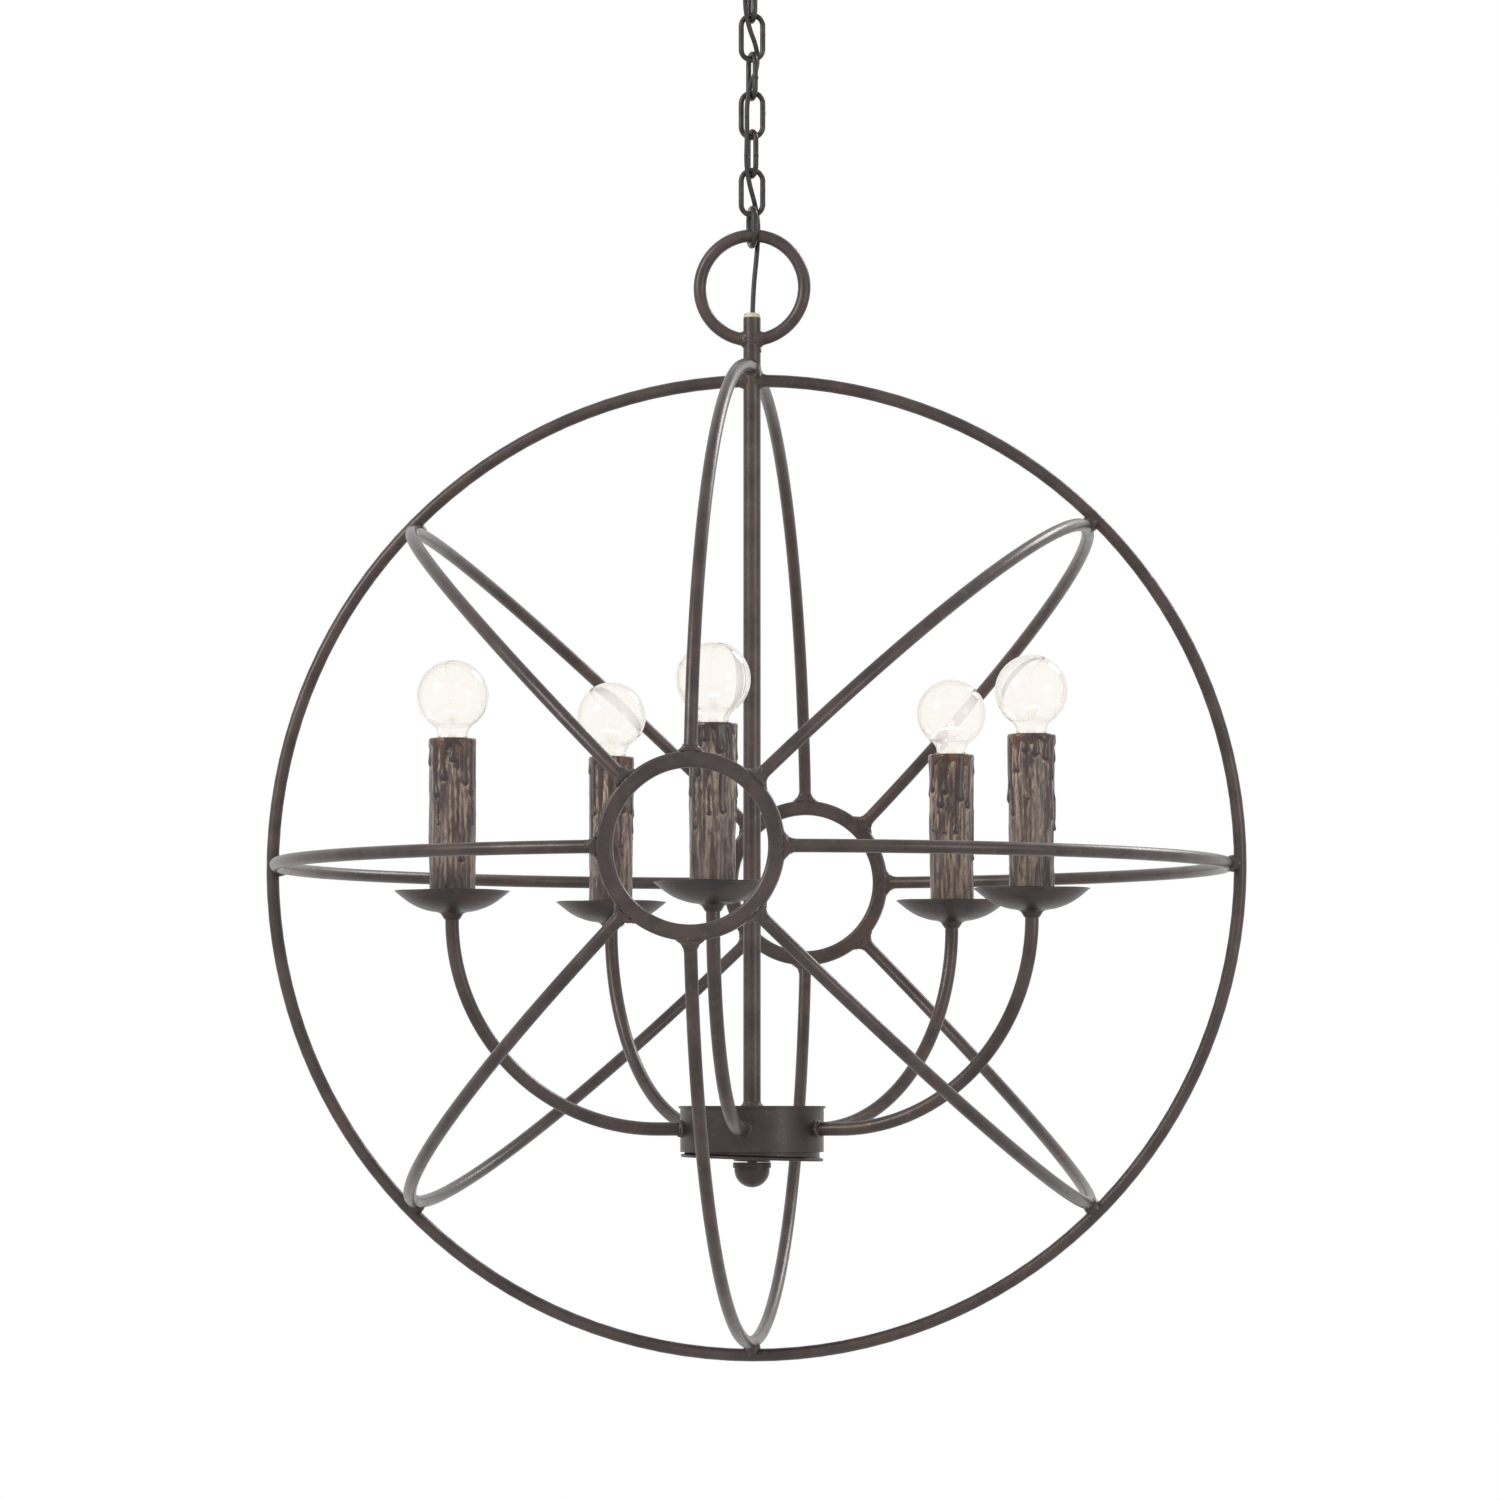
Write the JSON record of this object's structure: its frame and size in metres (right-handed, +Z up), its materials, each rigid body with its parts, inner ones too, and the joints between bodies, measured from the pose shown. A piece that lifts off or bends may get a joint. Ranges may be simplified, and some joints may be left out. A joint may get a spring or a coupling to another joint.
{
  "type": "orb chandelier",
  "caption": "Orb chandelier of welded rods round arms with dripped candle lights, hung by a ring and a link chain from a ceiling canopy.",
  "frame": {"origin": "on the ceiling, at the middle of the two fixing slots; the light hangs down in -Z", "axes": "+Z up, square to the ceiling; +X to the right along the ceiling bar and the outer hoop; the front hub and arm 1 point to -Y"},
  "size_m": [0.62, 0.5946, 0.9446],
  "materials": {
    "cage": "hand-waxed dark bronze brown over steel, satin, with reddish mottling",
    "chain": "dark bronze, satin",
    "fitting": "dark bronze, satin",
    "cup": "dark bronze, satin, worn lighter at the rim",
    "wax": "sculpted wax look, dark brown with ridges rubbed lighter",
    "holder": "black thermoset, matt",
    "bulb_glass": "clear glass",
    "bulb_cap": "plated sheet metal",
    "bush": "cream nylon",
    "flex": "black, matt",
    "lead": "insulated wires",
    "terminal": "white polyamide",
    "zinc": "zinc-plated steel"
  },
  "bodies": {
    "ceiling_fitting": {"ceiling_bar": "zinc", "canopy": "fitting", "canopy_loop": "fitting", "loop_nuts": "zinc", "terminal_block": "terminal", "supply_flex": "flex"},
    "link_1": {"chain_link_1": "chain"},
    "link_2": {"chain_link_2": "chain"},
    "link_3": {"chain_link_3": "chain"},
    "link_4": {"chain_link_4": "chain"},
    "link_5": {"chain_link_5": "chain"},
    "link_6": {"chain_link_6": "chain"},
    "connecting_link": {"connecting_link": "chain"},
    "orb": {"hanging_ring": "cage", "stem_bush": "bush", "centre_stem": "cage", "outer_hoop": "cage", "front_hub_ring": "cage", "rear_hub_ring": "cage", "cage_rod_top_front": "cage", "cage_rod_top_rear": "cage", "cage_rod_right": "cage", "cage_rod_upper_right": "cage", "cage_rod_upper_left": "cage", "cage_rod_left": "cage", "cage_rod_lower_left": "cage", "cage_rod_bottom": "cage", "cage_rod_lower_right": "cage", "arm_drum": "fitting", "drum_cover": "fitting", "cover_strap": "zinc", "drum_connector": "terminal", "fixture_wiring": "lead", "arm_1": "cage", "drip_cup_1": "cup", "candle_sleeve_1": "wax", "arm_2": "cage", "drip_cup_2": "cup", "candle_sleeve_2": "wax", "arm_3": "cage", "drip_cup_3": "cup", "candle_sleeve_3": "wax", "arm_4": "cage", "drip_cup_4": "cup", "candle_sleeve_4": "wax", "arm_5": "cage", "drip_cup_5": "cup", "candle_sleeve_5": "wax", "lampholders": "holder"},
    "finial": {"finial": "fitting"},
    "bulb_1": {"bulb_glass_1": "bulb_glass", "bulb_cap_1": "bulb_cap"},
    "bulb_2": {"bulb_glass_2": "bulb_glass", "bulb_cap_2": "bulb_cap"},
    "bulb_3": {"bulb_glass_3": "bulb_glass", "bulb_cap_3": "bulb_cap"},
    "bulb_4": {"bulb_glass_4": "bulb_glass", "bulb_cap_4": "bulb_cap"},
    "bulb_5": {"bulb_glass_5": "bulb_glass", "bulb_cap_5": "bulb_cap"}
  },
  "joints": [
    {"name": "swing_1", "type": "hinge", "parent": "ceiling_fitting", "child": "link_1", "pos_m": [0, 0, -0.076], "axis": [1, 0, 0], "range_deg": [-12, 12], "deforming": ["supply_flex"]},
    {"name": "swing_2", "type": "hinge", "parent": "link_1", "child": "link_2", "pos_m": [0, 0, -0.0999], "axis": [-0.3746, 0.9272, 0], "range_deg": [-12, 12], "deforming": ["supply_flex"]},
    {"name": "swing_3", "type": "hinge", "parent": "link_2", "child": "link_3", "pos_m": [0, 0, -0.1246], "axis": [0.9986, 0.0523, 0], "range_deg": [-12, 12], "deforming": ["supply_flex"]},
    {"name": "swing_4", "type": "hinge", "parent": "link_3", "child": "link_4", "pos_m": [0, 0, -0.1493], "axis": [-0.4226, 0.9063, 0], "range_deg": [-12, 12], "deforming": ["supply_flex"]},
    {"name": "swing_5", "type": "hinge", "parent": "link_4", "child": "link_5", "pos_m": [0, 0, -0.174], "axis": [0.9994, 0.0349, 0], "range_deg": [-12, 12], "deforming": ["supply_flex"]},
    {"name": "swing_6", "type": "hinge", "parent": "link_5", "child": "link_6", "pos_m": [0, 0, -0.1987], "axis": [-0.4695, 0.8829, 0], "range_deg": [-12, 12], "deforming": ["supply_flex"]},
    {"name": "swing_7", "type": "hinge", "parent": "link_6", "child": "connecting_link", "pos_m": [0, 0, -0.2234], "axis": [0.9976, 0.0698, 0], "range_deg": [-12, 12], "deforming": ["supply_flex"]},
    {"name": "swing_8", "type": "hinge", "parent": "connecting_link", "child": "orb", "pos_m": [0, 0, -0.2427], "axis": [-0.342, 0.9397, 0], "range_deg": [-12, 12], "deforming": ["supply_flex"]},
    {"name": "finial_turn", "type": "hinge", "parent": "orb", "child": "finial", "pos_m": [0, 0, -0.8151], "axis": [0, 0, 1], "continuous": true},
    {"name": "bulb_1_out", "type": "slide", "parent": "orb", "child": "bulb_1", "axis": [0, 0, 1], "range_m": [0, 0.03]},
    {"name": "bulb_2_out", "type": "slide", "parent": "orb", "child": "bulb_2", "axis": [0, 0, 1], "range_m": [0, 0.03]},
    {"name": "bulb_3_out", "type": "slide", "parent": "orb", "child": "bulb_3", "axis": [0, 0, 1], "range_m": [0, 0.03]},
    {"name": "bulb_4_out", "type": "slide", "parent": "orb", "child": "bulb_4", "axis": [0, 0, 1], "range_m": [0, 0.03]},
    {"name": "bulb_5_out", "type": "slide", "parent": "orb", "child": "bulb_5", "axis": [0, 0, 1], "range_m": [0, 0.03]}
  ]
}
